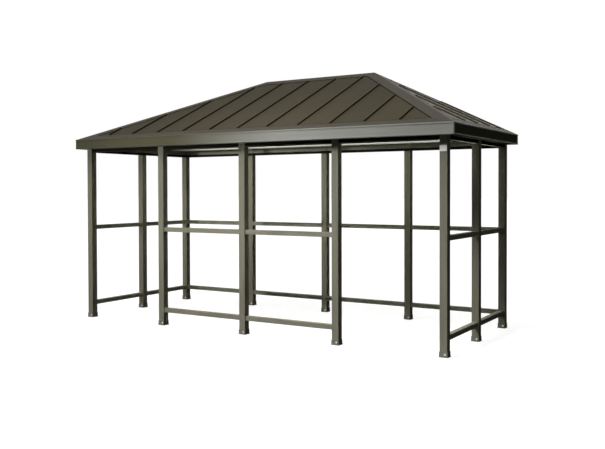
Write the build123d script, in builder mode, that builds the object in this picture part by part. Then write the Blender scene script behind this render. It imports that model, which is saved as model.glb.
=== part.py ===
"""Open bike shelter: a square-tube frame of twelve posts under a hipped standing-seam roof.

Lengths are millimetres, +Z is up, +X runs along the shelter and -Y is the front with the two
open entry bays. The origin is on the ground under the middle of the roof.
"""
import os
from math import hypot

from build123d import *

# Post grid
bay_length = 1219.2
long_bays = 4
bay_depth = 952.0
deep_bays = 2

# Posts and their base shoes
post_size = 82.0
post_wall = 4.0
post_corner = 3.0
frame_height = 2258.0
shoe_plate_size = 94.0
shoe_plate_thickness = 10.0
shoe_collar_wall = 2.5
shoe_height = 55.0
post_clearance = 0.5

# Rails and header beams, set between the posts
rail_height = 53.0
rail_depth = 60.0
rail_wall = 3.0
rail_corner = 2.5
low_rail_level = 187.0
mid_rail_level = 1178.0
header_height = 100.0
header_depth = 60.0
header_wall = 3.0

# Roof edge
roof_overhang = 99.0
fascia_drop = 62.0
fascia_height = 121.0
fascia_sheet = 3.0
ceiling_thickness = 18.0

# Roof slopes
ridge_length = 1656.0
ridge_set_back = 772.0
roof_rise = 843.0
panel_depth = 30.0
panel_clearance = 0.3
seam_pitch = 406.4
front_seam_shift = -74.0
seam_width = 10.0
seam_height = 15.0
seam_end_gap = 5.0

# Flat trim that frames every slope
trim_lift = 4.0
eave_trim_width = 135.0
hip_flange_width = 118.0
ridge_flange_width = 145.0

# Places that follow from the sizes above
post_xs = [(i - long_bays / 2) * bay_length for i in range(long_bays + 1)]
post_ys = [(i - deep_bays / 2) * bay_depth for i in range(deep_bays + 1)]
front_y, back_y = post_ys[0], post_ys[-1]
left_x, right_x = post_xs[0], post_xs[-1]
eave_half_x = right_x + post_size / 2 + roof_overhang
eave_half_y = back_y + post_size / 2 + roof_overhang
fascia_bottom = frame_height - fascia_drop
eave_top = fascia_bottom + fascia_height
panel_eave = eave_top - trim_lift
header_level = frame_height - header_height / 2
ridge_ends = {
    "left": (-ridge_length / 2, ridge_set_back),
    "right": (ridge_length / 2, ridge_set_back),
}
sides = ("front", "right", "back", "left")
outward = {"front": (0, -1), "right": (1, 0), "back": (0, 1), "left": (-1, 0)}


def dot(a, b):
    """Product of two plan vectors."""
    return a[0] * b[0] + a[1] * b[1]


def quarter_turn(direction):
    """The plan direction turned a quarter turn to the left."""
    return (-direction[1], direction[0])


def inset(corners, widths):
    """Corners of a convex outline after each edge has moved inwards by its own width."""
    lines = []
    for start, end, width in zip(corners, corners[1:] + corners[:1], widths):
        length = hypot(end[0] - start[0], end[1] - start[1])
        normal = ((start[1] - end[1]) / length, (end[0] - start[0]) / length)
        lines.append((normal, dot(normal, start) + width))
    moved = []
    for (n, n_reach), (m, m_reach) in zip(lines[-1:] + lines[:-1], lines):
        area = n[0] * m[1] - n[1] * m[0]
        moved.append(((n_reach * m[1] - m_reach * n[1]) / area, (n[0] * m_reach - m[0] * n_reach) / area))
    return moved


def border_strips(corners, widths):
    """The mitred strips that frame an outline, one along each edge."""
    inner = inset(corners, widths)
    following = corners[1:] + corners[:1]
    inner_following = inner[1:] + inner[:1]
    return list(zip(corners, following, inner_following, inner))


def keep(builder, name):
    """Names a finished piece and writes its file."""
    builder.part.label = name
    export_step(builder.part, f"parts/{name}.step")


class Slope:
    """One roof slope: its plane, its outline in that plane and the trim strips around it."""

    def __init__(self, side, ridge_points):
        out = outward[side]
        along = quarter_turn(out)
        reach = dot(out, (eave_half_x * out[0], eave_half_y * out[1]))
        self.run = reach - dot(out, ridge_points[0])
        self.half = abs(dot(along, (eave_half_x, eave_half_y)))
        self.length = hypot(self.run, roof_rise)
        self.plane = Plane(
            origin=(out[0] * reach, out[1] * reach, panel_eave),
            x_dir=(along[0], along[1], 0),
            z_dir=(out[0] * roof_rise, out[1] * roof_rise, self.run),
        )
        top = [(dot(along, point), self.length) for point in ridge_points]
        self.corners = [(-self.half, 0), (self.half, 0)] + top
        ridge_widths = [ridge_flange_width] * (len(ridge_points) - 1)
        widths = [eave_trim_width, hip_flange_width] + ridge_widths + [hip_flange_width]
        self.strips = border_strips(self.corners, widths)
        self.seam_field = inset(self.corners, [width + seam_end_gap for width in widths])


slopes = {
    "front": Slope("front", [ridge_ends["right"], ridge_ends["left"]]),
    "right": Slope("right", [ridge_ends["right"]]),
    "back": Slope("back", [ridge_ends["left"], ridge_ends["right"]]),
    "left": Slope("left", [ridge_ends["left"]]),
}


def make_post(name, x, y):
    """A square tube standing on its shoe plate and reaching up to the ceiling."""
    bore = post_size - 2 * post_wall
    with BuildPart() as post:
        with BuildSketch(Plane(origin=(x, y, shoe_plate_thickness))):
            RectangleRounded(post_size, post_size, post_corner)
            Rectangle(bore, bore, mode=Mode.SUBTRACT)
        extrude(amount=frame_height - shoe_plate_thickness)
    keep(post, name)


def make_shoes(name, centres):
    """Base plates with a square collar around the foot of each post."""
    pocket = post_size + 2 * post_clearance
    collar = pocket + 2 * shoe_collar_wall
    with BuildPart() as shoes:
        with BuildSketch(Plane.XY):
            with Locations(*centres):
                Rectangle(shoe_plate_size, shoe_plate_size)
        extrude(amount=shoe_plate_thickness)
        with BuildSketch(Plane.XY.offset(shoe_plate_thickness)):
            with Locations(*centres):
                Rectangle(collar, collar)
            with Locations(*centres):
                Rectangle(pocket, pocket, mode=Mode.SUBTRACT)
        extrude(amount=shoe_height - shoe_plate_thickness)
    keep(shoes, name)


def bays_along_x(y, level, bays):
    """Planes across the starts of the given bays of a long wall, with the clear span between posts."""
    starts = [post_xs[bay] + post_size / 2 for bay in bays]
    planes = [Plane(origin=(x, y, level), x_dir=(0, 1, 0), z_dir=(1, 0, 0)) for x in starts]
    return planes, bay_length - post_size


def bays_along_y(x, level, bays):
    """Planes across the starts of the given bays of an end wall, with the clear span between posts."""
    starts = [post_ys[bay] + post_size / 2 for bay in bays]
    planes = [Plane(origin=(x, y, level), x_dir=(-1, 0, 0), z_dir=(0, 1, 0)) for y in starts]
    return planes, bay_depth - post_size


def make_rails(name, planes, span):
    """Rail tubes with softened corners, one from post to post in each bay."""
    with BuildPart() as rails:
        with BuildSketch(*planes):
            RectangleRounded(rail_depth, rail_height, rail_corner)
            Rectangle(rail_depth - 2 * rail_wall, rail_height - 2 * rail_wall, mode=Mode.SUBTRACT)
        extrude(amount=span)
    keep(rails, name)


def make_header(name, planes, span):
    """Header tubes between the post heads, level with the post tops."""
    with BuildPart() as header:
        with BuildSketch(*planes):
            Rectangle(header_depth, header_height)
            Rectangle(header_depth - 2 * header_wall, header_height - 2 * header_wall, mode=Mode.SUBTRACT)
        extrude(amount=span)
    keep(header, name)


def make_fascia(name, edge, centres):
    """A folded sheet: the upright face and the soffit below it, which is notched round the posts."""
    eave = [
        (-eave_half_x, -eave_half_y),
        (eave_half_x, -eave_half_y),
        (eave_half_x, eave_half_y),
        (-eave_half_x, eave_half_y),
    ]
    soffit_width = roof_overhang + (post_size - header_depth) / 2
    notch = post_size + 2 * post_clearance
    with BuildPart() as fascia:
        with BuildSketch(Plane.XY.offset(fascia_bottom)):
            Polygon(*border_strips(eave, [soffit_width] * len(eave))[edge], align=None)
            with Locations(*centres):
                Rectangle(notch, notch, mode=Mode.SUBTRACT)
        extrude(amount=fascia_sheet)
        with BuildSketch(Plane.XY.offset(fascia_bottom)):
            Polygon(*border_strips(eave, [fascia_sheet] * len(eave))[edge], align=None)
        extrude(amount=panel_eave - fascia_bottom)
    keep(fascia, name)


def make_ceiling(name):
    """The flat lining that lies on the headers and the post tops."""
    with BuildPart() as ceiling:
        with BuildSketch(Plane.XY.offset(frame_height)):
            Rectangle(right_x - left_x + post_size, back_y - front_y + post_size)
        extrude(amount=ceiling_thickness)
    keep(ceiling, name)


def make_slope(name, slope, seam_shift):
    """A roof panel with standing seams that stop at the trim along the eave, hips and ridge."""
    edge_gap = fascia_sheet + panel_clearance
    seam_reach = int(slope.half / seam_pitch)
    seam_places = [(k * seam_pitch + seam_shift, 0) for k in range(-seam_reach, seam_reach + 1)]
    with BuildPart() as panel:
        with BuildSketch(slope.plane):
            Polygon(*slope.corners, align=None)
            with Locations((0, edge_gap * slope.length / slope.run)):
                Rectangle(
                    2 * (slope.half - edge_gap),
                    slope.length,
                    align=(Align.CENTER, Align.MIN),
                    mode=Mode.INTERSECT,
                )
        extrude(amount=panel_depth, dir=(0, 0, -1))
        with BuildSketch(slope.plane):
            with Locations(*seam_places):
                Rectangle(seam_width, slope.length, align=(Align.CENTER, Align.MIN))
            Polygon(*slope.seam_field, align=None, mode=Mode.INTERSECT)
        extrude(amount=seam_height)
    keep(panel, name)


def make_trim(name, flanges):
    """Folded sheet on the panels: each flange covers one border strip of a slope."""
    with BuildPart() as trim:
        for slope, edge in flanges:
            with BuildSketch(slope.plane):
                Polygon(*slope.strips[edge], align=None)
            extrude(amount=trim_lift, dir=(0, 0, 1))
    keep(trim, name)


os.makedirs("parts", exist_ok=True)

# Posts, numbered from the left
for number, post_x in enumerate(post_xs, start=1):
    make_post(f"front_post_{number}", post_x, front_y)
    make_post(f"back_post_{number}", post_x, back_y)
middle_ys = post_ys[1:-1]
for middle_y in middle_ys:
    make_post("left_middle_post", left_x, middle_y)
    make_post("right_middle_post", right_x, middle_y)
post_centres = [(x, y) for x in post_xs for y in (front_y, back_y)]
post_centres += [(x, y) for x in (left_x, right_x) for y in middle_ys]
make_shoes("post_shoes", post_centres)

# Rails: the first and last front bays stay open as entries
all_long_bays = range(long_bays)
all_deep_bays = range(deep_bays)
railed_front_bays = all_long_bays[1:-1]
for level_name, rail_level in (("low", low_rail_level), ("mid", mid_rail_level)):
    make_rails(f"front_{level_name}_rails", *bays_along_x(front_y, rail_level, railed_front_bays))
    make_rails(f"back_{level_name}_rails", *bays_along_x(back_y, rail_level, all_long_bays))
    make_rails(f"left_{level_name}_rails", *bays_along_y(left_x, rail_level, all_deep_bays))
    make_rails(f"right_{level_name}_rails", *bays_along_y(right_x, rail_level, all_deep_bays))

# Header beams over every bay
make_header("front_header", *bays_along_x(front_y, header_level, all_long_bays))
make_header("back_header", *bays_along_x(back_y, header_level, all_long_bays))
make_header("left_header", *bays_along_y(left_x, header_level, all_deep_bays))
make_header("right_header", *bays_along_y(right_x, header_level, all_deep_bays))

# Roof edge and lining
make_ceiling("ceiling")
for edge_number, side_name in enumerate(sides):
    make_fascia(f"{side_name}_fascia", edge_number, post_centres)

# Roof slopes with their trim; the strips run eave, hip, then ridge or hip, anticlockwise
seam_shifts = {"front": front_seam_shift}
for side_name in sides:
    make_slope(f"{side_name}_roof_slope", slopes[side_name], seam_shifts.get(side_name, 0))
    make_trim(f"{side_name}_eave_trim", [(slopes[side_name], 0)])
make_trim("front_right_hip_cap", [(slopes["front"], 1), (slopes["right"], -1)])
make_trim("back_right_hip_cap", [(slopes["right"], 1), (slopes["back"], -1)])
make_trim("back_left_hip_cap", [(slopes["back"], 1), (slopes["left"], -1)])
make_trim("front_left_hip_cap", [(slopes["left"], 1), (slopes["front"], -1)])
make_trim("ridge_cap", [(slopes["front"], 2), (slopes["back"], 2)])
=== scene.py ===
"""Looks of the open bike shelter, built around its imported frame.

Lengths are metres in the frame of the part: +X runs along the shelter, -Y is the entry side, +Z is up.
"""

import logging
import math
from dataclasses import dataclass, field
from enum import Enum
from typing import Any, Callable, Optional, Sequence, Union

import bmesh
import bpy
import numpy as np
from mathutils import Matrix, Vector


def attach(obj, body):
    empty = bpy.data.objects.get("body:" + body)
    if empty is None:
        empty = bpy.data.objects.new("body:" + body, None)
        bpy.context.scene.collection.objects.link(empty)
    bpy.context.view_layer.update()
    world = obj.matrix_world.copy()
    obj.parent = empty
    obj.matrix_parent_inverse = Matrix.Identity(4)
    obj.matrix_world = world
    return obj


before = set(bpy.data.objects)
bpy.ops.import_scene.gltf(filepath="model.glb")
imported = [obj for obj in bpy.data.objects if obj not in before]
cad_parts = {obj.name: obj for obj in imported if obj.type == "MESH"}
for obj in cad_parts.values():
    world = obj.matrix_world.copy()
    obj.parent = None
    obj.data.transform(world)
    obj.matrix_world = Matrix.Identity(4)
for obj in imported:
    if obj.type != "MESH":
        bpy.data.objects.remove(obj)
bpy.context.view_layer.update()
LOG = logging.getLogger("bike_shelter")

Colour = tuple[float, float, float]
Place = tuple[float, float, float]
Pair = tuple[float, float]
Outline = tuple[Pair, ...]
# Sizes at the eaves, at the hips and at the ridge
EdgeSizes = tuple[float, float, float]

UP = np.array([0.0, 0.0, 1.0])
# The signs of X and Y at the corners of a rectangle, in turn
CORNERS = np.array([[-1.0, -1.0], [1.0, -1.0], [1.0, 1.0], [-1.0, 1.0]])
PAN_WIDTH = 0.4064
BOARD_WIDTH = 0.2032


class Grain(Enum):
    """Which way the streaks of a finish run: how fast its pattern changes along X, Y and Z."""

    EVEN = (1.0, 1.0, 1.0)
    UPRIGHT = (1.0, 1.0, 0.04)
    ALONG_X = (0.04, 1.0, 1.0)
    ALONG_Y = (1.0, 0.04, 1.0)
    DOWN_FRONT = (1.0, 0.05, 0.05)
    DOWN_END = (0.05, 1.0, 0.05)
    TALL_WAVE = (1.0, 1.0, 0.6)


class Mixing(Enum):
    """How a second colour goes over a first: it covers it or is multiplied into it."""

    COVER = "MIX"
    TINT = "MULTIPLY"


class Side(Enum):
    """The four sides of the shelter, each with the plan direction that it faces."""

    FRONT = (0.0, -1.0)
    RIGHT = (1.0, 0.0)
    BACK = (0.0, 1.0)
    LEFT = (-1.0, 0.0)

    @property
    def label(self) -> str:
        """The word that the names of this side's pieces start with."""
        return self.name.lower()

    @property
    def out(self) -> np.ndarray:
        """The level direction that this side faces."""
        return np.array([*self.value, 0.0])

    @property
    def along(self) -> np.ndarray:
        """The level direction that runs to the right for someone who looks at this side."""
        return np.array([-self.value[1], self.value[0], 0.0])


# Shader sums

Operator = Callable[["Tone", "Value"], "Tone"]


def both_ways(operation: str) -> tuple[Operator, Operator]:
    """Makes an operator of Tone and its reflected form.

    Args:
        operation: the Math node's operation.

    Returns:
        The operator on a Tone and another value, and on another value and a Tone.
    """

    def plain(tone: "Tone", other: "Value") -> "Tone":
        """This value first, the other second."""
        return tone.combine(operation, tone, other)

    def reflected(tone: "Tone", other: "Value") -> "Tone":
        """The other value first, this one second."""
        return tone.combine(operation, other, tone)

    return plain, reflected


class Tone:
    """A shader value that takes part in Python sums; each operator adds one Math node."""

    def __init__(self, sheet: "NodeSheet", socket: bpy.types.NodeSocket) -> None:
        """Keeps the socket and the sheet that it lies on."""
        self.sheet = sheet
        self.socket = socket

    def combine(self, operation: str, first: "Value", second: "Value") -> "Tone":
        """Adds the Math node of one operation on two values."""
        return self.sheet.add("ShaderNodeMath", {"operation": operation}, {0: first, 1: second})

    __add__, __radd__ = both_ways("ADD")
    __sub__, __rsub__ = both_ways("SUBTRACT")
    __mul__, __rmul__ = both_ways("MULTIPLY")
    __truediv__, __rtruediv__ = both_ways("DIVIDE")

    def floor(self) -> "Tone":
        """The whole number below this value."""
        return self.combine("FLOOR", self, 0.0)

    def distance(self) -> "Tone":
        """This value without its sign."""
        return self.combine("ABSOLUTE", self, 0.0)

    def larger(self, other: "Value") -> "Tone":
        """The larger of this value and another."""
        return self.combine("MAXIMUM", self, other)

    def swing(self, size: float) -> "Tone":
        """How far this value, which runs from 0 to 1, lies above or below its middle, times a size."""
        return size * (self - 0.5)


Value = Union[Tone, float]


class NodeSheet:
    """The nodes of one material or world."""

    # Sockets of a Mix node between colours, by number because its sockets share their names
    MIX_SHARE, MIX_FIRST, MIX_SECOND, MIX_RESULT = 0, 6, 7, 2

    def __init__(self, tree: bpy.types.NodeTree) -> None:
        """Clears the tree and keeps it."""
        tree.nodes.clear()
        self.tree = tree

    def add(
        self,
        kind: str,
        settings: Optional[dict[str, Any]] = None,
        inputs: Optional[dict[Union[int, str], Any]] = None,
        output: Union[int, str] = 0,
    ) -> Tone:
        """Adds one node.

        Args:
            kind: the node's type name.
            settings: the node's own options, set before its sockets.
            inputs: a value or a Tone for each socket, by name or number.
            output: the socket that is handed back.

        Returns:
            The chosen output as a Tone, or the node's first input where it has no outputs.
        """
        node = self.tree.nodes.new(kind)
        for key, value in (settings or {}).items():
            setattr(node, key, value)
        for key, value in (inputs or {}).items():
            if isinstance(value, Tone):
                self.tree.links.new(value.socket, node.inputs[key])
            else:
                node.inputs[key].default_value = value
        return Tone(self, node.outputs[output] if node.outputs else node.inputs[0])

    def place(self) -> Tone:
        """The point on the piece, in the frame of the part."""
        return self.add("ShaderNodeTexCoord", output="Object")

    def axes(self) -> tuple[Tone, Tone, Tone]:
        """The point's X, Y and Z as three values."""
        split = self.add("ShaderNodeSeparateXYZ", inputs={0: self.place()})
        return tuple(Tone(self, socket) for socket in split.socket.node.outputs)

    def noise(
        self, scale: float, grain: Grain = Grain.EVEN, detail: float = 3.0, rough: float = 0.55
    ) -> Tone:
        """Cloudy pattern from 0 to 1.

        Args:
            scale: how many clouds there are in a metre.
            grain: how much of that scale holds along each axis.
            detail: how many finer layers are added.
            rough: how strong the finer layers are.

        Returns:
            The pattern's value.
        """
        stretch = {"Vector": self.place(), "Scale": grain.value}
        spread = self.add("ShaderNodeMapping", {"vector_type": "POINT"}, stretch)
        clouds = {"Vector": spread, "Scale": scale, "Detail": detail, "Roughness": rough}
        return self.add("ShaderNodeTexNoise", inputs=clouds)

    def strips(self, place: Tone, seed: float) -> tuple[Tone, Tone]:
        """Splits a run into strips: edge = 2 |place - floor(place) - 0.5|, tone = one random draw a strip.

        Args:
            place: the place along the run, counted in strips.
            seed: what is added to a strip's number before its tone is drawn.

        Returns:
            How near the strip's edge the point lies, 0 in the middle and 1 at the edge, and the strip's tone.
        """
        strip = place.floor()
        edge = ((place - strip) - 0.5).distance() * 2.0
        return edge, self.add("ShaderNodeTexWhiteNoise", {"noise_dimensions": "1D"}, {"W": strip + seed})

    def rise(self, value: Value, low: float, high: float) -> Tone:
        """A soft step: 0 where the value is below low, 1 above high."""
        settings = {"interpolation_type": "SMOOTHSTEP", "clamp": True}
        return self.add("ShaderNodeMapRange", settings, {"Value": value, "From Min": low, "From Max": high})

    def blend(self, share: Value, first: Any, second: Any, mixing: Mixing = Mixing.COVER) -> Tone:
        """Mixes two colours.

        Args:
            share: how much of the second there is, from 0 to 1.
            first: the colour below.
            second: the colour that goes over it.
            mixing: how it goes over it.

        Returns:
            The mixed colour.
        """
        settings = {"data_type": "RGBA", "clamp_factor": True, "blend_type": mixing.value}
        inputs = {self.MIX_SHARE: share, self.MIX_FIRST: opaque(first), self.MIX_SECOND: opaque(second)}
        return self.add("ShaderNodeMix", settings, inputs, self.MIX_RESULT)

    def relief(self, height: Value, depth: float, strength: float, over: Optional[Tone] = None) -> Tone:
        """Bends the surface direction as a relief would.

        Args:
            height: the relief's height.
            depth: how many metres a height of 1 is.
            strength: how much of the relief shows.
            over: the surface direction below, if there is another relief.

        Returns:
            The new surface direction.
        """
        inputs = {"Height": height, "Distance": depth, "Strength": strength}
        if over is not None:
            inputs["Normal"] = over
        return self.add("ShaderNodeBump", inputs=inputs)


def opaque(colour: Any) -> Any:
    """A plain colour with its alpha of 1; a Tone goes through as it is."""
    return colour if isinstance(colour, Tone) else (*colour, 1.0)


def shaded(colour: Colour, share: float) -> Colour:
    """A colour made lighter or darker by one factor."""
    return tuple(part * share for part in colour)


# Finishes

# Colour, roughness and surface direction
Looks = tuple[Tone, Tone, Tone]


@dataclass(frozen=True)
class Finish:
    """What every finish of the shelter has: its name, its main colour, its gloss and its roughness."""

    name: str
    colour: Colour
    roughness: float = 0.5
    specular: float = 0.2
    metallic: float = 0.0

    def material(self) -> bpy.types.Material:
        """Makes the finish as a material.

        Returns:
            The material, with its pattern on the frame of the part.
        """
        made = bpy.data.materials.new(self.name)
        made.use_nodes = True
        sheet = NodeSheet(made.node_tree)
        colour, roughness, direction = self.pattern(sheet)
        surface = sheet.add(
            "ShaderNodeBsdfPrincipled",
            inputs={
                "Base Color": colour,
                "Roughness": roughness,
                "Normal": direction,
                "Metallic": self.metallic,
                "Specular IOR Level": self.specular,
            },
        )
        sheet.add("ShaderNodeOutputMaterial", inputs={"Surface": surface})
        return made

    def mottled(self, sheet: NodeSheet, share: Value, dark: float, light: float) -> Tone:
        """The main colour times dark where share is 0, times light where it is 1."""
        return sheet.blend(share, shaded(self.colour, dark), shaded(self.colour, light))

    def pattern(self, sheet: NodeSheet) -> Looks:
        """How the finish varies over the piece; here a lightly mottled coat.

        Args:
            sheet: the nodes of the material.

        Returns:
            The colour, the roughness and the surface direction.
        """
        cloud = sheet.noise(9.0)
        speck = sheet.noise(420.0, detail=2.0)
        coat = self.mottled(sheet, cloud, dark=0.86, light=1.14)
        return coat, self.roughness + speck.swing(0.12), sheet.relief(speck, depth=0.0004, strength=0.3)


@dataclass(frozen=True)
class TubeCoat(Finish):
    """Satin paint on drawn tube: faint draw lines, handling marks and dust that gathers at the foot."""

    grain: Grain = Grain.UPRIGHT
    scuff_share: float = 0.22
    dust: Colour = (0.30, 0.28, 0.23)
    dust_height: float = 0.32
    dust_share: float = 0.30

    def pattern(self, sheet: NodeSheet) -> Looks:
        """Streaks along the tube, small scuffs, and dust that thins out upwards.

        Args:
            sheet: the nodes of the material.

        Returns:
            The colour, the roughness and the surface direction.
        """
        height = sheet.axes()[2]
        draw = sheet.noise(46.0, self.grain, detail=4.0)
        cloud = sheet.noise(1.7, detail=2.0)
        speck = sheet.noise(520.0, detail=2.0)
        scuff = sheet.rise(sheet.noise(85.0, self.grain, detail=5.0, rough=0.7), 0.66, 0.74)
        coat = self.mottled(sheet, 0.5 + draw.swing(0.6) + cloud.swing(0.25), dark=0.6, light=1.4)
        coat = sheet.blend(scuff * self.scuff_share, coat, shaded(self.colour, 1.9))
        patch = sheet.rise(sheet.noise(22.0, detail=5.0, rough=0.65), 0.25, 0.75)
        dusty = (1.0 - sheet.rise(height, 0.0, self.dust_height)) * patch * self.dust_share
        coat = sheet.blend(dusty, coat, self.dust)
        roughness = self.roughness + speck.swing(0.10) + draw.swing(0.10) + 0.5 * dusty
        return coat, roughness, sheet.relief(speck * 0.5 + draw, depth=0.0005, strength=0.35)


@dataclass(frozen=True)
class SheetCoat(Finish):
    """Paint on folded sheet: long soft waves in the flat of the sheet and marks where rain runs off."""

    grain: Grain = Grain.ALONG_X
    run_share: float = 0.16
    wave_depth: float = 0.004

    def pattern(self, sheet: NodeSheet) -> Looks:
        """Streaks along the sheet, clouds of fading, pale run-off marks and a shallow wave.

        Args:
            sheet: the nodes of the material.

        Returns:
            The colour, the roughness and the surface direction.
        """
        streak = sheet.noise(30.0, self.grain, detail=4.0)
        cloud = sheet.noise(1.1, detail=2.0)
        speck = sheet.noise(480.0, detail=2.0)
        runs = sheet.rise(sheet.noise(26.0, Grain.UPRIGHT, detail=5.0, rough=0.7), 0.60, 0.78)
        coat = self.mottled(sheet, 0.5 + streak.swing(0.5) + cloud.swing(0.9), dark=0.78, light=1.22)
        coat = sheet.blend(runs * self.run_share, coat, shaded(self.colour, 1.8))
        roughness = self.roughness + speck.swing(0.08) + cloud.swing(0.10)
        wave = sheet.noise(1.6, Grain.TALL_WAVE, detail=1.0)
        fine = sheet.relief(speck, depth=0.0004, strength=0.25)
        return coat, roughness, sheet.relief(wave, depth=self.wave_depth, strength=0.6, over=fine)


@dataclass(frozen=True)
class PaintedReflectionSheetCoat(SheetCoat):
    """A sheet coat with a painted reflection: paler right of the middle of the shelter, standing in for
    bright sky reflected there.
    """

    # The painted reflection's colour, and the span along X over which the sheet goes over to it
    painted_reflection: Colour = (0.2, 0.2, 0.18)
    span: Pair = (-1.1, 0.9)

    def pattern(self, sheet: NodeSheet) -> Looks:
        """The sheet's pattern over a colour that goes softly from its own colour to the painted reflection's
        colour along X.

        Args:
            sheet: the nodes of the material.

        Returns:
            The colour, the roughness and the surface direction.
        """
        coat, roughness, direction = super().pattern(sheet)
        share = sheet.rise(sheet.axes()[0], *self.span)
        change = tuple(new / old for new, old in zip(self.painted_reflection, self.colour))
        return sheet.blend(share, coat, change, Mixing.TINT), roughness, direction


@dataclass(frozen=True)
class RoofCoat(Finish):
    """Matt paint on roof panels: each pan differs a little, bellies slightly and carries rain streaks."""

    grain: Grain = Grain.DOWN_FRONT
    pitch: float = PAN_WIDTH
    shift: float = 0.0
    seed: float = 0.37
    dust: Colour = (0.16, 0.145, 0.115)
    seam_dust_share: float = 0.18
    wash_share: float = 0.12
    belly_depth: float = 0.006

    def pattern(self, sheet: NodeSheet) -> Looks:
        """A tone for each pan, streaks down the slope, dust beside the seams and a shallow belly in each pan.

        Args:
            sheet: the nodes of the material.

        Returns:
            The colour, the roughness and the surface direction.
        """
        x, y, _ = sheet.axes()
        across = x if self.grain is Grain.DOWN_FRONT else y
        edge, pan = sheet.strips((across - self.shift) / self.pitch, self.seed)
        streak = sheet.noise(24.0, self.grain, detail=4.0)
        cloud = sheet.noise(1.4, detail=3.0)
        speck = sheet.noise(520.0, detail=2.0)
        share = 0.5 + pan.swing(0.30) + streak.swing(0.55) + cloud.swing(0.8)
        coat = self.mottled(sheet, share, dark=0.80, light=1.20)
        beside = sheet.rise(edge, 0.86, 0.98) * sheet.rise(sheet.noise(9.0, self.grain), 0.25, 0.75)
        wash = sheet.rise(sheet.noise(38.0, self.grain, detail=5.0, rough=0.7), 0.58, 0.76)
        coat = sheet.blend(beside * self.seam_dust_share + wash * self.wash_share, coat, self.dust)
        roughness = self.roughness + speck.swing(0.12) + streak.swing(0.12)
        belly = (1.0 - edge * edge) * (0.4 + sheet.noise(2.2, detail=1.0))
        fine = sheet.relief(speck, depth=0.0004, strength=0.3)
        return coat, roughness, sheet.relief(belly, depth=self.belly_depth, strength=0.5, over=fine)


@dataclass(frozen=True)
class LiningCoat(Finish):
    """Pale semi-gloss ceiling boards laid from front to back, with dark joints and a few water marks."""

    board: float = BOARD_WIDTH
    seed: float = 0.71
    stain: Colour = (0.30, 0.29, 0.20)
    stain_share: float = 0.35
    joint_share: float = 0.7
    joint_depth: float = 0.002

    def pattern(self, sheet: NodeSheet) -> Looks:
        """A tone for each board, a dark line at each joint and faint clouds of stain.

        Args:
            sheet: the nodes of the material.

        Returns:
            The colour, the roughness and the surface direction.
        """
        edge, board = sheet.strips(sheet.axes()[0] / self.board, self.seed)
        cloud = sheet.noise(2.4, detail=5.0, rough=0.65)
        streak = sheet.noise(34.0, Grain.ALONG_Y, detail=3.0)
        joint = sheet.rise(edge, 0.95, 0.985)
        coat = self.mottled(sheet, 0.5 + board.swing(0.5) + streak.swing(0.5), dark=0.86, light=1.12)
        coat = sheet.blend(sheet.rise(cloud, 0.52, 0.74) * self.stain_share, coat, self.stain)
        coat = sheet.blend(joint * self.joint_share, coat, shaded(self.colour, 0.25))
        roughness = self.roughness + cloud.swing(0.15)
        return coat, roughness, sheet.relief(1.0 - joint, depth=self.joint_depth, strength=0.8)


@dataclass(frozen=True)
class ShoeCoat(Finish):
    """Paint at ground level: chipped, stained by splashes and dusty towards the bottom."""

    bare: Colour = (0.40, 0.39, 0.35)
    chip_share: float = 0.45
    dust: Colour = (0.32, 0.30, 0.25)
    dust_height: float = 0.05
    dust_share: float = 0.30

    def pattern(self, sheet: NodeSheet) -> Looks:
        """Blotches, small bare chips and dust that thins out upwards.

        Args:
            sheet: the nodes of the material.

        Returns:
            The colour, the roughness and the surface direction.
        """
        height = sheet.axes()[2]
        blotch = sheet.noise(48.0, detail=5.0, rough=0.65)
        chip = sheet.rise(sheet.noise(160.0, detail=4.0, rough=0.7), 0.63, 0.68)
        speck = sheet.noise(600.0, detail=2.0)
        coat = self.mottled(sheet, blotch, dark=0.74, light=1.26)
        coat = sheet.blend(chip * self.chip_share, coat, self.bare)
        low = 1.0 - sheet.rise(height, 0.0, self.dust_height)
        splash = low * sheet.rise(blotch, 0.3, 0.7) * self.dust_share
        coat = sheet.blend(splash, coat, self.dust)
        roughness = self.roughness + blotch.swing(0.2) + 0.3 * splash - 0.15 * chip
        pits = blotch * 0.5 + speck * 0.4 - chip * 0.5
        return coat, roughness, sheet.relief(pits, depth=0.0008, strength=0.6)


@dataclass(frozen=True)
class ZincCoat(Finish):
    """Bright zinc on bolt heads, with dull spots."""

    tarnish: Colour = (0.34, 0.32, 0.28)
    tarnish_share: float = 0.6

    def pattern(self, sheet: NodeSheet) -> Looks:
        """Spangle and dull spots that are rougher than the bright zinc.

        Args:
            sheet: the nodes of the material.

        Returns:
            The colour, the roughness and the surface direction.
        """
        spot = sheet.rise(sheet.noise(240.0, detail=4.0), 0.48, 0.68)
        spangle = sheet.noise(700.0, detail=1.0)
        coat = self.mottled(sheet, spangle, dark=0.85, light=1.08)
        coat = sheet.blend(spot * self.tarnish_share, coat, self.tarnish)
        return coat, self.roughness + 0.25 * spot, sheet.relief(spangle, depth=0.0002, strength=0.3)


@dataclass(frozen=True)
class PlateCoat(Finish):
    """A white plate with a little dust and a faint brushed sheen."""

    dust: Colour = (0.50, 0.48, 0.42)
    dust_share: float = 0.25

    def pattern(self, sheet: NodeSheet) -> Looks:
        """White with fine level brush lines and light soiling.

        Args:
            sheet: the nodes of the material.

        Returns:
            The colour, the roughness and the surface direction.
        """
        brush = sheet.noise(300.0, Grain.ALONG_X, detail=3.0)
        soil = sheet.rise(sheet.noise(60.0, detail=5.0, rough=0.65), 0.50, 0.80)
        coat = self.mottled(sheet, brush, dark=0.95, light=1.0)
        coat = sheet.blend(soil * self.dust_share, coat, self.dust)
        return coat, self.roughness + brush.swing(0.1), sheet.relief(brush, depth=0.0002, strength=0.25)


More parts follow.
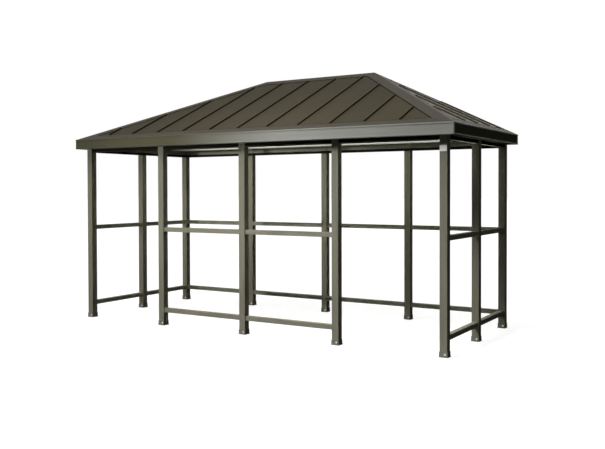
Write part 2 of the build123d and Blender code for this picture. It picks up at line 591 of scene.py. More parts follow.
BRONZE: Colour = (0.200, 0.193, 0.147)
RAIL_BRONZE: Colour = (0.218, 0.212, 0.163)
ROOF_BRONZE: Colour = (0.045, 0.039, 0.024)
# Painted reflection: the front fascia goes paler right of the middle, standing in for bright sky reflected
# there
FRONT_PAINTED_REFLECTION: Colour = (0.285, 0.290, 0.262)
POST_COAT = TubeCoat("satin_bronze_posts", BRONZE, 0.55, 0.0, grain=Grain.UPRIGHT)
RAIL_X_COAT = TubeCoat("satin_bronze_long_rails", RAIL_BRONZE, 0.55, 0.0, grain=Grain.ALONG_X)
RAIL_Y_COAT = TubeCoat("satin_bronze_end_rails", RAIL_BRONZE, 0.55, 0.0, grain=Grain.ALONG_Y)
FASCIA_FRONT_COAT = PaintedReflectionSheetCoat(
    "bronze_front_fascia", (0.086, 0.082, 0.050), 0.45, 0.02, painted_reflection=FRONT_PAINTED_REFLECTION
)
FASCIA_BACK_COAT = SheetCoat("bronze_back_fascia", (0.13, 0.128, 0.09), 0.45, 0.02)
FASCIA_END_COAT = SheetCoat("bronze_end_fascia", (0.085, 0.086, 0.057), 0.5, 0.0, grain=Grain.ALONG_Y)
TRIM_X_COAT = SheetCoat("bronze_trim_long", (0.048, 0.042, 0.031), 0.6, 0.01)
TRIM_Y_COAT = SheetCoat("bronze_trim_end", (0.054, 0.048, 0.037), 0.6, 0.01, grain=Grain.ALONG_Y)
ROOF_FRONT_COAT = RoofCoat("matt_bronze_front_pans", ROOF_BRONZE, 0.7, 0.01, shift=-0.074)
ROOF_BACK_COAT = RoofCoat("matt_bronze_back_pans", ROOF_BRONZE, 0.7, 0.01)
ROOF_END_COAT = RoofCoat("matt_bronze_end_pans", ROOF_BRONZE, 0.7, 0.15, grain=Grain.DOWN_END)
LINING = LiningCoat("pale_ceiling_boards", (0.62, 0.64, 0.54), 0.35, 0.4)
SHOE_COAT = ShoeCoat("worn_bronze_shoes", (0.200, 0.193, 0.150), 0.6, 0.0)
ZINC = ZincCoat("zinc_bolts", (0.72, 0.71, 0.68), 0.30, 0.5, 1.0)
# Near black for the inner header strip, and for painted shade: the trim's shadow line and the header lengths
# under the soffit
BLACK_STRIP_AND_SHADE = Finish("black_strip_and_painted_shade", (0.012, 0.011, 0.009), 0.8, 0.0)
WHITE_PLATE = PlateCoat("bare_white_plate", (0.90, 0.90, 0.87), 0.4, 0.3)


# Shapes

@dataclass
class Shape:
    """Points and faces of a closed surface, as arrays; each face array holds faces of one corner count."""

    points: np.ndarray
    faces: list[np.ndarray]

    def repeated(self, count: int) -> list[np.ndarray]:
        """The faces of several copies that follow each other: corner number + copy number * point count."""
        steps = np.arange(count)[:, None, None] * len(self.points)
        return [(rows[None] + steps).reshape(-1, rows.shape[1]) for rows in self.faces]

    def placed(self, places: np.ndarray) -> "Shape":
        """Copies of the shape, point' = turn * point + offset for each place.

        Args:
            places: K placings of 3 by 4 numbers, the turn and the offset.

        Returns:
            One shape with all K copies.
        """
        moved = np.einsum("kij,nj->kni", places[:, :, :3], self.points) + places[:, None, :, 3]
        return Shape(moved.reshape(-1, 3), self.repeated(len(places)))

    @staticmethod
    def joined(shapes: Sequence["Shape"]) -> "Shape":
        """One shape that holds several, point after point.

        Args:
            shapes: what is joined.

        Returns:
            The joined shape.
        """
        steps = np.cumsum([0] + [len(shape.points) for shape in shapes[:-1]])
        faces = [rows + step for shape, step in zip(shapes, steps) for rows in shape.faces]
        return Shape(np.concatenate([shape.points for shape in shapes]), faces)


def skin(loops: np.ndarray, closed: bool) -> Shape:
    """The surface through R loops of C points: quad (r, c) joins points c and c + 1 of loops r and r + 1.

    Args:
        loops: R by C by 3 numbers, the points; each loop closes on itself.
        closed: whether the last loop joins the first; if not, a cap closes either end.

    Returns:
        The closed surface.
    """
    numbers = np.arange(loops.shape[0] * loops.shape[1]).reshape(loops.shape[:2])
    beside, below = np.roll(numbers, -1, axis=1), np.roll(numbers, -1, axis=0)
    quads = np.stack([numbers, beside, np.roll(below, -1, axis=1), below], axis=-1)
    if closed:
        faces = [quads.reshape(-1, 4)]
    else:
        faces = [quads[:-1].reshape(-1, 4), np.stack([numbers[0, ::-1], numbers[-1]])]
    return Shape(loops.reshape(-1, 3), faces)


def raised(plan: np.ndarray, heights: np.ndarray) -> np.ndarray:
    """Level loops with their heights put in as each point's third number."""
    return np.concatenate([plan, np.broadcast_to(heights, (*plan.shape[:2], 1))], axis=-1)


def turned(profile: Outline, sides: int) -> Shape:
    """A profile turned about Z: point (k, s) = (r_k cos t_s, r_k sin t_s, h_k) with t_s = 2 pi s / sides.

    Args:
        profile: the pairs (r, h) from one end to the other.
        sides: how many points a turn has.

    Returns:
        The turned form with capped ends.
    """
    radius, height = np.array(profile).T[:, :, None]
    angle = np.arange(sides) * 2.0 * math.pi / sides
    plan = np.stack([radius * np.cos(angle), radius * np.sin(angle)], axis=-1)
    return skin(raised(plan, height[:, :, None]), closed=False)


def carried(
    profile: np.ndarray, starts: np.ndarray, ends: np.ndarray, across: np.ndarray, up: np.ndarray
) -> Shape:
    """A profile carried along straight lines: point (k, e, p) = end e of line k + a_p across + b_p up.

    Args:
        profile: the P pairs (a, b) of the closed outline.
        starts: the K points where the lines start.
        ends: the K points where they end.
        across: the direction of a.
        up: the direction of b.

    Returns:
        One capped bar for each line.
    """
    offsets = profile[:, :1] * across + profile[:, 1:] * up
    points = np.stack([starts, ends], axis=1)[:, :, None, :] + offsets
    return Shape(points.reshape(-1, 3), skin(points[0], closed=False).repeated(len(points)))


def hoop(profile: np.ndarray, half: Pair) -> Shape:
    """A profile carried round a level rectangle, mitred at its corners.

    Point (c, p) = (sx_c (half_x + a_p), sy_c (half_y + a_p), b_p) with the signs of the four corners.

    Args:
        profile: the P pairs (a, b): a outwards from the rectangle, b upwards.
        half: half the sides of the rectangle.

    Returns:
        The closed frame.
    """
    plan = CORNERS[:, None, :] * (np.array(half) + profile[:, :1])
    return skin(raised(plan, profile[:, 1:]), closed=True)


def rounded_outline(width: float, height: float, radius: float, steps: int = 6) -> np.ndarray:
    """Points round a rectangle: corner centre + radius (cos t, sin t), t over a quarter turn at each corner.

    Args:
        width: the whole width.
        height: the whole height.
        radius: the radius of the corners.
        steps: how many points each corner has.

    Returns:
        The points as pairs.
    """
    angle = np.linspace(0.0, math.pi / 2, steps)[None, :] + np.arange(4)[:, None] * math.pi / 2
    centre = -CORNERS * (np.array([width, height]) / 2 - radius)
    points = centre[:, None, :] + radius * np.stack([np.cos(angle), np.sin(angle)], axis=-1)
    return points.reshape(-1, 2)


def eased_strip(near: float, far: float, low: float, high: float, ease: float) -> np.ndarray:
    """The outline of a flat strip whose two edges at far are eased by a small slant.

    Args:
        near: where the strip lies on what carries it.
        far: where its free face lies.
        low: its lower edge.
        high: its upper edge.
        ease: how much each slant takes off.

    Returns:
        The points as pairs, the first number between near and far.
    """
    slant = far - math.copysign(ease, far)
    steps = [(near, low), (slant, low), (far, low + ease), (far, high - ease), (slant, high), (near, high)]
    return np.array(steps)


def facing(origins: np.ndarray, out: np.ndarray, up: np.ndarray) -> np.ndarray:
    """Placings whose local Z looks out and local Y is up; the columns of the turn are up x out, up and out.

    Args:
        origins: the K points.
        out: the direction of local Z.
        up: the direction of local Y.

    Returns:
        One placing of 3 by 4 numbers at each point.
    """
    turn = np.stack([np.cross(up, out), up, out], axis=-1)
    return np.concatenate([np.broadcast_to(turn, (len(origins), 3, 3)), origins[:, :, None]], axis=-1)


def put(name: str, data: bpy.types.ID) -> bpy.types.Object:
    """Puts a mesh, a lamp or a camera into the scene.

    Args:
        name: the object's name.
        data: what the object shows.

    Returns:
        The new object.
    """
    made = bpy.data.objects.new(name, data)
    bpy.context.scene.collection.objects.link(made)
    return made


def add_piece(name: str, shape: Shape, material: bpy.types.Material) -> None:
    """Puts a shape into the scene as a piece that rides on the frame.

    Args:
        name: the piece's name.
        shape: its points and faces.
        material: its finish.
    """
    mesh = bpy.data.meshes.new(name)
    mesh.from_pydata(shape.points.tolist(), [], [face for rows in shape.faces for face in rows.tolist()])
    shell = bmesh.new()
    shell.from_mesh(mesh)
    bmesh.ops.recalc_face_normals(shell, faces=shell.faces)
    shell.to_mesh(mesh)
    shell.free()
    mesh.materials.append(material)
    piece = put(name, mesh)
    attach(piece, "root")
    LOG.info("%s: %d faces", name, len(mesh.polygons))


def dress(nodes: Sequence[str], material: bpy.types.Material) -> None:
    """Gives a finish to nodes of the frame.

    Args:
        nodes: their names.
        material: the finish.
    """
    for node in nodes:
        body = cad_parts[node]
        if not body.material_slots:
            body.data.materials.append(material)
        for slot in body.material_slots:
            slot.material = material
        LOG.info("%s: dressed in %s", node, material.name)


# Sub-assemblies

@dataclass
class PostFrame:
    """The tube frame: posts, rails and headers, with the weld beads where a rail meets a post."""

    bays: int = 4
    # The other bays of the front are the entries
    front_rail_bays: tuple[int, ...] = (1, 2)
    bay: float = 1.2192
    depth: float = 0.952
    post: float = 0.082
    rail_size: Pair = (0.060, 0.053)
    rail_corner: float = 0.0025
    rail_levels: Pair = (0.187, 1.178)
    bead: float = 0.0035
    # Loops of a bead: how far out and how high each lies, in sizes of the bead
    bead_loops: Outline = ((0.0, 0.0), (1.0, 0.0), (0.65, 0.6), (0.0, 1.0))
    corner_steps: int = 3

    @property
    def half_length(self) -> float:
        """How far the middles of the corner posts lie from the middle of the shelter, along X."""
        return self.bays / 2 * self.bay

    def posts(self) -> list[str]:
        """The names of all posts."""
        rows = [f"{row}_post_{number + 1}" for row in ("front", "back") for number in range(self.bays + 1)]
        return rows + ["left_middle_post", "right_middle_post"]

    def feet(self) -> np.ndarray:
        """Where the posts stand.

        Returns:
            The point on the ground under the middle of each post.
        """
        xs = np.arange(self.bays + 1) * self.bay - self.half_length
        long_sides = [(x, y, 0.0) for x in xs for y in (-self.depth, self.depth)]
        return np.array(long_sides + [(xs[0], 0.0, 0.0), (xs[-1], 0.0, 0.0)])

    def weld(self) -> Shape:
        """One weld bead round a rail: loop k = outline + a_k (wider outline - outline), at the height b_k.

        Returns:
            The bead in its own frame, with the face of the post at Z = 0.
        """
        width, height = self.rail_size
        outline = rounded_outline(width, height, self.rail_corner, self.corner_steps)
        wider = rounded_outline(
            width + 2 * self.bead, height + 2 * self.bead, self.rail_corner + self.bead, self.corner_steps
        )
        reach, lift = np.array(self.bead_loops).T[:, :, None, None]
        return skin(raised(outline + reach * (wider - outline), lift * self.bead), closed=True)

    @staticmethod
    def rail_ends(starts: np.ndarray, along: np.ndarray, length: float) -> list[np.ndarray]:
        """Placings at both ends of some rails, each looking along its rail, away from the post."""
        return [facing(starts, along, UP), facing(starts + length * along, -along, UP)]

    def weld_places(self) -> np.ndarray:
        """Where the weld beads go.

        Returns:
            A placing at each end of each rail.
        """
        half_post = self.post / 2
        places = []
        for level in self.rail_levels:
            for y, bays in ((-self.depth, self.front_rail_bays), (self.depth, range(self.bays))):
                lefts = [bay * self.bay - self.half_length + half_post for bay in bays]
                starts = np.array([[left, y, level] for left in lefts])
                places += self.rail_ends(starts, Side.RIGHT.out, self.bay - self.post)
            for x in (-self.half_length, self.half_length):
                starts = np.array([[x, row + half_post, level] for row in (-self.depth, 0.0)])
                places += self.rail_ends(starts, Side.BACK.out, self.depth - self.post)
        return np.concatenate(places)

    def build(self) -> None:
        """Adds the weld beads and dresses the tubes along their own length."""
        posts, along_x, along_y = POST_COAT.material(), RAIL_X_COAT.material(), RAIL_Y_COAT.material()
        dress(self.posts(), posts)
        for names, coat in ((("front", "back"), along_x), (("left", "right"), along_y)):
            dress([f"{name}_{part}" for name in names for part in ("low_rails", "mid_rails", "header")], coat)
        add_piece("rail_welds", self.weld().placed(self.weld_places()), posts)


@dataclass
class PostShoes:
    """The slim base shoes with one bolt through the front and back of each collar, right of its middle."""

    tubes: PostFrame = field(default_factory=PostFrame)
    collar: float = 0.088
    bolt_level: float = 0.030
    bolt_shift: float = 0.018
    # Radius and height of each ring of the washer and of the hexagon head
    washer: Outline = ((0.0095, 0.0002), (0.0095, 0.0016), (0.00893, 0.0021))
    washer_sides: int = 16
    head: Outline = ((0.0070, 0.0018), (0.0070, 0.0055), (0.00602, 0.0067), (0.0021, 0.0070))
    head_sides: int = 6

    def bolt(self) -> Shape:
        """A hexagon head on a washer: two profiles turned about Z."""
        return Shape.joined([turned(self.washer, self.washer_sides), turned(self.head, self.head_sides)])

    def build(self) -> None:
        """Dresses the shoes and adds the bolts."""
        dress(["post_shoes"], SHOE_COAT.material())
        middles = self.tubes.feet() + self.bolt_level * UP
        places = []
        for side in (Side.FRONT, Side.BACK):
            spots = middles + side.along * self.bolt_shift + side.out * self.collar / 2
            places.append(facing(spots, side.out, UP))
        add_piece("shoe_bolts", self.bolt().placed(np.concatenate(places)), ZINC.material())


@dataclass
class RoofPlan:
    """Where the roof's planes lie: eave rectangle, ridge and the lift of the trim."""

    eave_half: Pair = (2.5784, 1.092)
    eave_level: float = 2.313
    ridge_half: float = 0.828
    ridge_back: float = 0.772
    rise: float = 0.843
    lift: float = 0.004
    # How far the first spot on an edge lies from its corner, in insets of the spots
    corner_margin: float = 2.2

    def corners(self, side: Side) -> np.ndarray:
        """The outline of one slope.

        Args:
            side: the slope.

        Returns:
            Its corners, from the left end of its eave round to the ridge.
        """
        reach = side.out[:2] * self.eave_half
        half = abs(side.along[:2] @ np.array(self.eave_half))
        eave = [[*(reach + side.along[:2] * end), self.eave_level] for end in (-half, half)]
        top = self.eave_level + self.rise
        right, left = [self.ridge_half, self.ridge_back, top], [-self.ridge_half, self.ridge_back, top]
        ridge = {Side.FRONT: [right, left], Side.RIGHT: [right], Side.BACK: [left, right], Side.LEFT: [left]}
        return np.array(eave + ridge[side])

    def normal(self, side: Side) -> np.ndarray:
        """The direction that a slope faces: its eave crossed with its right hip, made one long.

        Args:
            side: the slope.

        Returns:
            The direction.
        """
        points = self.corners(side)
        across = np.cross(points[1] - points[0], points[2] - points[1])
        return across / np.linalg.norm(across)

    def by_edge(self, side: Side, sizes: EdgeSizes) -> np.ndarray:
        """One size for each edge of a slope's outline, from the sizes at eaves, hips and ridge."""
        eave, hip, ridge = sizes
        return np.array([eave, hip] + [ridge] * (len(self.corners(side)) - 3) + [hip])

    def inset(self, side: Side, widths: np.ndarray) -> np.ndarray:
        """A slope's outline after each edge i has moved inwards by widths[i], in the plane of the slope.

        Corner i moves by s m_(i-1) + t m_i with the inward directions m of its two edges, with s and t such
        that it lies on both moved lines.

        Args:
            side: the slope.
            widths: how far each edge moves.

        Returns:
            The moved corners.
        """
        points = self.corners(side)
        runs = np.roll(points, -1, axis=0) - points
        inwards = np.cross(self.normal(side), runs / np.linalg.norm(runs, axis=1, keepdims=True))
        before, width_before = np.roll(inwards, 1, axis=0), np.roll(widths, 1)
        lean = np.sum(before * inwards, axis=1)
        s = (width_before - lean * widths) / (1.0 - lean**2)
        t = (widths - lean * width_before) / (1.0 - lean**2)
        return points + s[:, None] * before + t[:, None] * inwards

    def edge_spots(self, side: Side, edge: int, inset: float, pitch: float) -> np.ndarray:
        """Evenly spaced spots on the trim along one edge of a slope.

        Args:
            side: the slope.
            edge: which edge of its outline.
            inset: how far the spots lie from that edge, in the slope.
            pitch: about how far they are apart.

        Returns:
            The spots, lifted onto the trim.
        """
        points = self.corners(side)
        start, end = points[edge], points[(edge + 1) % len(points)]
        length = np.linalg.norm(end - start)
        along = (end - start) / length
        inwards = np.cross(self.normal(side), along)
        margin = self.corner_margin * inset
        count = max(2, int(round((length - 2 * margin) / pitch)) + 1)
        run = np.linspace(margin, length - margin, count)[:, None]
        return start + run * along + inset * inwards + self.lift * UP


@dataclass
class StandingSeamRoof:
    """The roof slopes with folded seam heads, and the flat trim with its rivets and a black painted shadow
    line along its inner edge.
    """

    plan: RoofPlan = field(default_factory=RoofPlan)
    # Two seams lie at least this far apart, and their tops lie within this of one plane
    seam_gap: float = 0.1
    top_tolerance: float = 1e-4
    # A flat hook that wraps the top of the standing leg: across the seam and out from the slope
    fold: Outline = (
        (-0.0060, -0.0060), (-0.0060, 0.0006), (-0.0050, 0.0014), (0.0058, 0.0014),
        (0.0070, 0.0006), (0.0070, -0.0054), (0.0062, -0.0060),
    )
    rivet: float = 0.0065
    rivet_pitch: float = PAN_WIDTH
    rivet_sides: int = 10
    # Radius and height of each ring of a rivet head, in radii of the rivet
    rivet_dome: Outline = ((1.0, 0.0), (0.94, 0.18), (0.7, 0.36), (0.3, 0.46))
    rivet_insets: EdgeSizes = (0.112, 0.096, 0.122)
    trim_widths: EdgeSizes = (0.135, 0.118, 0.145)
    # Outline of the painted shadow line's bead: inwards from the edge of the trim and out from the slope
    shadow_line_bead: Outline = (
        (-0.001, 0.0004), (0.009, 0.0004), (0.007, 0.0020), (0.002, 0.0046), (-0.001, 0.0046),
    )

    def seam_lines(self, side: Side) -> tuple[np.ndarray, np.ndarray]:
        """Where the seams of a slope run, read from the frame.

        Args:
            side: the slope.

        Returns:
            The start and end points along the middle of the seam tops.
        """
        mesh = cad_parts[f"{side.label}_roof_slope"].data
        points = np.empty(len(mesh.vertices) * 3)
        mesh.vertices.foreach_get("co", points)
        points = points.reshape(-1, 3)
        normal = self.plan.normal(side)
        climb = np.cross(normal, side.along)
        height = points @ normal
        top = points[height > height.max() - self.top_tolerance]
        across = top @ side.along
        order = np.argsort(across)
        seams = np.split(top[order], np.flatnonzero(np.diff(across[order]) > self.seam_gap) + 1)
        starts, ends = [], []
        for seam in seams:
            place, run = seam @ side.along, seam @ climb
            middle = 0.5 * (place.min() + place.max())
            flanks = [run[place < middle], run[place > middle]]
            low, high = max(flank.min() for flank in flanks), min(flank.max() for flank in flanks)
            root = middle * side.along + height.max() * normal
            starts.append(root + low * climb)
            ends.append(root + high * climb)
        return np.array(starts), np.array(ends)

    def rivets(self) -> Shape:
        """Low round rivet heads along every trim flange: a domed profile turned about Z, one at each spot.

        Returns:
            All rivet heads.
        """
        dome = turned(self.rivet_dome, self.rivet_sides)
        places = []
        for side in Side:
            normal = self.plan.normal(side)
            for edge, inset in enumerate(self.plan.by_edge(side, self.rivet_insets)):
                spots = self.plan.edge_spots(side, edge, inset, self.rivet_pitch)
                places.append(facing(spots, normal, np.cross(normal, side.along)))
        return Shape(dome.points * self.rivet, dome.faces).placed(np.concatenate(places))

    def painted_shadow_line(self) -> Shape:
        """A black bead along the inner edge of the trim, one ring a slope: painted shade for the shadow line
        there.

        Point (c, p) = corner c of the slope's outline moved inwards by the trim's width plus a_p, and by b_p
        along the normal.

        Returns:
            All rings.
        """
        rings = []
        for side in Side:
            widths, normal = self.plan.by_edge(side, self.trim_widths), self.plan.normal(side)
            lines = [self.plan.inset(side, widths + a) + b * normal for a, b in self.shadow_line_bead]
            rings.append(skin(np.stack(lines, axis=1), closed=True))
        return Shape.joined(rings)

    def build(self) -> None:
        """Dresses slopes and trim and adds the seam heads, rivets and the painted shadow line."""
        front, back, end = (coat.material() for coat in (ROOF_FRONT_COAT, ROOF_BACK_COAT, ROOF_END_COAT))
        trim_x, trim_y = TRIM_X_COAT.material(), TRIM_Y_COAT.material()
        coats = {Side.FRONT: front, Side.BACK: back, Side.LEFT: end, Side.RIGHT: end}
        for side, coat in coats.items():
            dress([f"{side.label}_roof_slope"], coat)
            heads = carried(np.array(self.fold), *self.seam_lines(side), side.along, self.plan.normal(side))
            add_piece(f"{side.label}_seam_heads", heads, coat)
        dress(["front_eave_trim", "back_eave_trim", "ridge_cap"], trim_x)
        dress(["left_eave_trim", "right_eave_trim"], trim_y)
        dress([f"{row}_{hand}_hip_cap" for row in ("front", "back") for hand in ("left", "right")], trim_y)
        add_piece("trim_rivets", self.rivets(), trim_x)
        # Painted shade: a black bead where the trim's inner edge throws a thin shadow line
        add_piece("trim_painted_shadow_line", self.painted_shadow_line(), BLACK_STRIP_AND_SHADE.material())


@dataclass
class RoofEdge:
    """The fascia with its folded hem, the drip edge above it and a cover over each corner."""

    plan: RoofPlan = field(default_factory=RoofPlan)
    bottom: float = 2.196
    stand_off: float = 0.0002
    hem_height: float = 0.014
    hem_depth: float = 0.0025
    hem_foot: float = 0.00175
    hem_ease: float = 0.001
    drip_height: float = 0.012
    drip_depth: float = 0.004
    drip_top: float = 0.0016
    drip_ease: float = 0.002
    cover_width: float = 0.036
    cover_sheet: float = 0.0012
    cover_gap: float = 0.002

    def hem(self) -> np.ndarray:
        """The outline of the flattened fold along the foot of the fascia.

        Returns:
            The points as pairs: out from the fascia, and the level.
        """
        top = self.bottom + self.hem_height
        return np.array(
            [
                [self.stand_off, self.bottom],
                [self.hem_foot, self.bottom],
                [self.hem_depth, self.bottom + self.hem_depth],
                [self.hem_depth, top - self.hem_ease],
                [self.stand_off, top],
            ]
        )

    def drip(self) -> np.ndarray:
        """The outline of the turned-down lip of the eave trim.

        Returns:
            The points as pairs: out from the fascia, and the level.
        """
        top = self.plan.eave_level + self.plan.lift
        low = top - self.drip_height
        return np.array(
            [
                [self.stand_off, low],
                [self.drip_depth, low - self.drip_ease],
                [self.drip_depth, top - self.drip_ease],
                [self.drip_top, top],
                [self.stand_off, top],
            ]
        )

    def covers(self) -> Shape:
        """A thin angle over each corner: an L outline carried upright along the corner.

        Returns:
            The four angles.
        """
        low = self.bottom + self.hem_height + self.cover_gap
        high = self.plan.eave_level - self.drip_height
        near, far, width = self.stand_off, self.stand_off + self.cover_sheet, self.cover_width
        outline = [(far, far), (-width, far), (-width, near), (near, near), (near, -width), (far, -width)]
        angles = []
        for signs in CORNERS:
            corner = np.array([[*(signs * self.plan.eave_half), 0.0]])
            across, away = signs[0] * Side.RIGHT.out, signs[1] * Side.BACK.out
            angles.append(carried(np.array(outline), corner + low * UP, corner + high * UP, across, away))
        return Shape.joined(angles)

    def build(self) -> None:
        """Dresses the fascias and adds hem, drip edge and corner covers."""
        front_coat, end_coat = FASCIA_FRONT_COAT.material(), FASCIA_END_COAT.material()
        dress(["front_fascia"], front_coat)
        dress(["back_fascia"], FASCIA_BACK_COAT.material())
        dress(["left_fascia", "right_fascia"], end_coat)
        # The front fascia's coat, with its painted reflection along X, also goes on the hem, the drip edge
        # and the corner covers on all four sides
        add_piece("fascia_hem", hoop(self.hem(), self.plan.eave_half), front_coat)
        add_piece("eave_drip", hoop(self.drip(), self.plan.eave_half), front_coat)
        add_piece("fascia_corner_covers", self.covers(), front_coat)


@dataclass
class CeilingLining:
    """The ceiling boards, laid from front to back under the flat ceiling between the posts."""

    under: float = 2.258
    board: float = BOARD_WIDTH
    joint: float = 0.004
    thickness: float = 0.014
    ease: float = 0.003
    stand_off: float = 0.0003
    half: Pair = (2.396, 0.910)

    def row(self, middles: np.ndarray, width: float) -> Shape:
        """Boards of one width side by side: an eased strip carried along Y, point = middle + a Z + b X.

        Args:
            middles: the X of each board's middle.
            width: the boards' width.

        Returns:
            The boards.
        """
        outline = eased_strip(-self.stand_off, -self.thickness, -width / 2, width / 2, self.ease)
        starts = middles[:, None] * Side.RIGHT.out + np.array([0.0, -self.half[1], self.under])
        ends = starts + 2 * self.half[1] * Side.BACK.out
        return carried(outline, starts, ends, UP, Side.RIGHT.out)

    def boards(self) -> Shape:
        """All boards: full ones about the middle, and a narrower one at each end.

        Returns:
            The boards.
        """
        full = int(self.half[0] / self.board)
        middles = (np.arange(-full, full) + 0.5) * self.board
        rest = self.half[0] - full * self.board
        ends = np.array([-1.0, 1.0]) * (full * self.board + rest / 2)
        return Shape.joined([self.row(middles, self.board - self.joint), self.row(ends, rest - self.joint)])

    def build(self) -> None:
        """Dresses the ceiling and adds the boards."""
        lining = LINING.material()
        dress(["ceiling"], lining)
        add_piece("ceiling_boards", self.boards(), lining)


@dataclass
class HeaderStrips:
    """The dark strips on the headers: one round their inner foot, and lengths under the soffit outside that
    are painted shade, black where the fascia overhang shades the headers.
    """

    tubes: PostFrame = field(default_factory=PostFrame)
    header: float = 0.060
    foot: float = 2.158
    soffit: float = 2.196
    inner_levels: Pair = (2.150, 2.184)
    inner_depth: float = 0.006
    outer_depth: float = 0.007
    ease: float = 0.001
    stand_off: float = 0.0003
    level_gap: float = 0.0005
    end_gap: float = 0.001

    def inner(self) -> Shape:
        """One strip round the inner faces of the posts: an eased outline carried round a rectangle.

        Returns:
            The strip.
        """
        outline = eased_strip(-self.stand_off, -self.inner_depth, *self.inner_levels, self.ease)
        half_post = self.tubes.post / 2
        return hoop(outline, (self.tubes.half_length - half_post, self.tubes.depth - half_post))

    def outer(self) -> Shape:
        """Painted shade: black lengths between the posts on the headers' outer faces, where the fascia
        overhang shades them; an eased outline carried along each bay.

        Returns:
            The lengths of all four sides.
        """
        low, high = self.foot + self.level_gap, self.soffit - self.level_gap
        outline = eased_strip(self.stand_off, self.outer_depth, low, high, self.ease)
        face = np.array([self.tubes.half_length, self.tubes.depth, 0.0]) + self.header / 2
        gap = self.tubes.post / 2 + self.end_gap
        lengths = []
        for side in Side:
            bays, pitch = (self.tubes.bays, self.tubes.bay) if side.out[1] else (2, self.tubes.depth)
            left = (np.arange(bays) - bays / 2)[:, None] * pitch * side.along + side.out * face
            starts, ends = left + gap * side.along, left + (pitch - gap) * side.along
            lengths.append(carried(outline, starts, ends, side.out, UP))
        return Shape.joined(lengths)

    def build(self) -> None:
        """Adds both kinds of strip."""
        black_strip_and_shade = BLACK_STRIP_AND_SHADE.material()
        add_piece("header_inner_strip", self.inner(), black_strip_and_shade)
        # Painted shade: the outer lengths stand for the shadow under the fascia overhang
        add_piece("header_outer_shadow_strips", self.outer(), black_strip_and_shade)


@dataclass
class PostPlate:
    """A bare white plate on the head of the right front post, held by two small rivets."""

    tubes: PostFrame = field(default_factory=PostFrame)
    level: float = 2.067
    width: float = 0.076
    height: float = 0.062
    radius: float = 0.006
    thickness: float = 0.003
    ease: float = 0.0008
    stand_off: float = 0.0003
    rivet_place: Pair = (0.030, 0.023)
    # Radius and height of each ring of a rivet head
    rivet: Outline = ((0.0032, 0.0), (0.0030, 0.0008), (0.0018, 0.0015))
    rivet_sides: int = 12

    def plate(self) -> Shape:
        """A rounded rectangle in three loops: the back, the eased edge and the front face.

        Returns:
            The plate in its own frame, with the face of the post at Z = 0.
        """
        loops = ((0.0, self.stand_off), (0.0, self.thickness - self.ease), (self.ease, self.thickness))
        plan = [rounded_outline(self.width - 2 * a, self.height - 2 * a, self.radius) for a, _ in loops]
        return skin(raised(np.array(plan), np.array(loops)[:, 1:, None]), closed=False)

    def build(self) -> None:
        """Adds the plate and its rivets."""
        centre = np.array([[self.tubes.half_length, -self.tubes.depth - self.tubes.post / 2, self.level]])
        plate = self.plate().placed(facing(centre, Side.FRONT.out, UP))
        add_piece("bare_post_plate", plate, WHITE_PLATE.material())
        across, above = self.rivet_place
        spots = centre + np.array([[-across, -self.thickness, above], [across, -self.thickness, above]])
        heads = turned(self.rivet, self.rivet_sides).placed(facing(spots, Side.FRONT.out, UP))
        add_piece("plate_rivets", heads, ZINC.material())


# Studio

WHITE: Colour = (1.0, 1.0, 1.0)


@dataclass(frozen=True)
class Lamp:
    """One distant lamp: where its light comes from, how strong it is and how soft its shadows are."""

    name: str
    towards: Place
    strength: float
    softness: float
    colour: Colour = WHITE
    distance: float = 20.0

    def build(self) -> None:
        """Hangs the lamp so that it shines from the given direction."""
        data = bpy.data.lights.new(self.name, "SUN")
        data.energy = self.strength
        data.angle = math.radians(self.softness)
        data.color = self.colour
        lamp = put(self.name, data)
        direction = np.array(self.towards) / np.linalg.norm(self.towards)
        lamp.rotation_euler = (math.acos(direction[2]), 0.0, math.atan2(direction[0], -direction[1]))
        lamp.location = tuple(direction * self.distance)


@dataclass(frozen=True)
class SoftBox:
    """One flat soft lamp: its place, the point it is aimed at, its size, its power and its spread."""

    name: str
    place: Place
    aim: Place
    size: Pair
    power: float
    spread: float

    def build(self) -> None:
        """Stands the lamp in the studio; the camera sees through it."""
        data = bpy.data.lights.new(self.name, "AREA")
        data.shape = "RECTANGLE"
        data.size, data.size_y = self.size
        data.energy = self.power
        data.spread = math.radians(self.spread)
        lamp = put(self.name, data)
        lamp.location = self.place
        lamp.rotation_euler = (Vector(self.aim) - Vector(self.place)).to_track_quat("-Z", "Y").to_euler()
        lamp.visible_camera = False


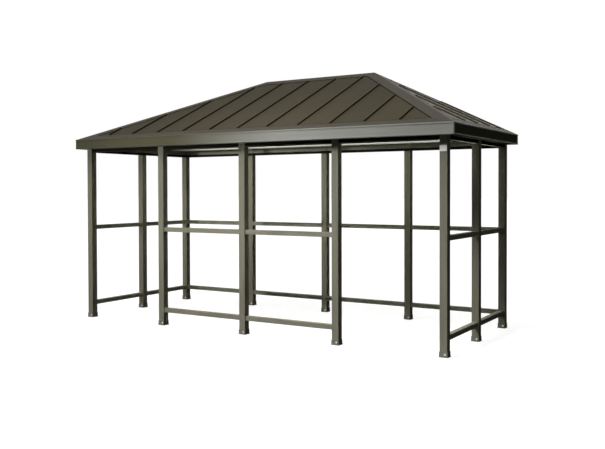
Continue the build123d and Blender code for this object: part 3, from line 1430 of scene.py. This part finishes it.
@dataclass
class Studio:
    """Floor, lamps, background and the camera at the viewing angle of the photograph."""

    camera_place: Place = (5.2307, -8.2561, 1.6621)
    camera_turn: float = 0.5460
    camera_tilt: float = -0.0180
    camera_roll: float = -0.0026
    camera_reach: float = 500.0
    focal_pixels: float = 778.85
    middle_pixels: float = 203.66
    image_size: tuple[int, int] = (605, 449)
    sensor: float = 36.0
    floor_half: float = 120.0
    floor_level: float = -0.0006
    floor_shown: Colour = (0.34, 0.34, 0.34)
    floor_glow: float = 0.80
    floor_bounce: Colour = (0.072, 0.072, 0.068)
    ambient: float = 0.055
    top: Lamp = Lamp("top_lamp", (-0.25, -0.40, 0.88), 2.0, 40.0, (1.0, 0.99, 0.965))
    back: Lamp = Lamp("back_lamp", (-0.50, 0.75, 0.45), 2.2, 70.0)
    key: SoftBox = SoftBox("key_box", (-3.0, -5.5, 6.5), (1.8, -1.1, 0.8), (2.2, 2.2), 45.0, 40.0)
    fill: SoftBox = SoftBox("fill_box", (-7.5, -44.4, 0.3), (-1.4, 0.0, 1.35), (1.4, 1.4), 27.0, 7.0)
    under: SoftBox = SoftBox("under_box", (0.25, 0.0, 0.012), (0.25, 0.0, 1.0), (4.4, 1.15), 38.0, 24.0)

    def build_camera(self) -> None:
        """Places the camera; lens and shift come from the focal length and the middle row, both in pixels."""
        data = bpy.data.cameras.new("camera")
        data.sensor_fit = "HORIZONTAL"
        data.sensor_width = self.sensor
        data.lens = self.focal_pixels / self.image_size[0] * self.sensor
        data.shift_y = (self.middle_pixels - self.image_size[1] / 2) / self.image_size[0]
        data.clip_end = self.camera_reach
        camera = put("camera", data)
        camera.location = self.camera_place
        turn = Matrix.Rotation(self.camera_turn, 4, "Z")
        tilt = Matrix.Rotation(math.pi / 2 + self.camera_tilt, 4, "X")
        camera.rotation_euler = (turn @ tilt @ Matrix.Rotation(self.camera_roll, 4, "Z")).to_euler()
        bpy.context.scene.camera = camera

    def seen(self, sheet: NodeSheet) -> Tone:
        """Tells rays that look at the background from rays that only carry light.

        Args:
            sheet: the nodes of a material or world.

        Returns:
            1 for rays of the camera, of gloss and of glass, 0 for others.
        """
        paths = sheet.add("ShaderNodeLightPath").socket.node.outputs
        names = ("Is Camera Ray", "Is Glossy Ray", "Is Transmission Ray")
        camera, glossy, through = (Tone(sheet, paths[name]) for name in names)
        return camera.larger(glossy).larger(through)

    def build_floor(self) -> None:
        """A plain pale floor that keeps the shadow; it looks near white and bounces little light."""
        mesh = bpy.data.meshes.new("floor")
        corners = [(*corner, self.floor_level) for corner in (CORNERS * self.floor_half).tolist()]
        mesh.from_pydata(corners, [], [(0, 1, 2, 3)])
        material = bpy.data.materials.new("pale_floor")
        material.use_nodes = True
        sheet = NodeSheet(material.node_tree)
        shown = sheet.add("ShaderNodeBsdfDiffuse", inputs={"Color": opaque(self.floor_shown)})
        glow = sheet.add("ShaderNodeEmission", inputs={"Color": opaque(WHITE), "Strength": self.floor_glow})
        white = sheet.add("ShaderNodeAddShader", inputs={0: glow, 1: shown})
        plain = sheet.add("ShaderNodeBsdfDiffuse", inputs={"Color": opaque(self.floor_bounce)})
        surface = sheet.add("ShaderNodeMixShader", inputs={0: self.seen(sheet), 1: plain, 2: white})
        sheet.add("ShaderNodeOutputMaterial", inputs={"Surface": surface})
        mesh.materials.append(material)
        floor = put("floor", mesh)

    def build_world(self) -> None:
        """White where it is seen, dim where it only lights."""
        world = bpy.data.worlds.new("studio")
        bpy.context.scene.world = world
        world.use_nodes = True
        sheet = NodeSheet(world.node_tree)
        strength = self.ambient + (1.0 - self.ambient) * self.seen(sheet)
        light = sheet.add("ShaderNodeBackground", inputs={"Color": opaque(WHITE), "Strength": strength})
        sheet.add("ShaderNodeOutputWorld", inputs={"Surface": light})

    def build(self) -> None:
        """Sets up the whole studio."""
        bpy.context.scene.view_settings.view_transform = "Standard"
        self.build_camera()
        self.build_floor()
        self.build_world()
        for lamp in (self.top, self.back, self.key, self.fill, self.under):
            lamp.build()


def main() -> None:
    """Builds every sub-assembly in order, then the studio."""
    logging.basicConfig(level=logging.INFO, format="%(name)s: %(message)s")
    parts = (
        PostFrame(), PostShoes(), CeilingLining(), HeaderStrips(),
        RoofEdge(), StandingSeamRoof(), PostPlate(), Studio(),
    )
    for part in parts:
        LOG.info("building %s", type(part).__name__)
        part.build()


if __name__ == "__main__":
    main()
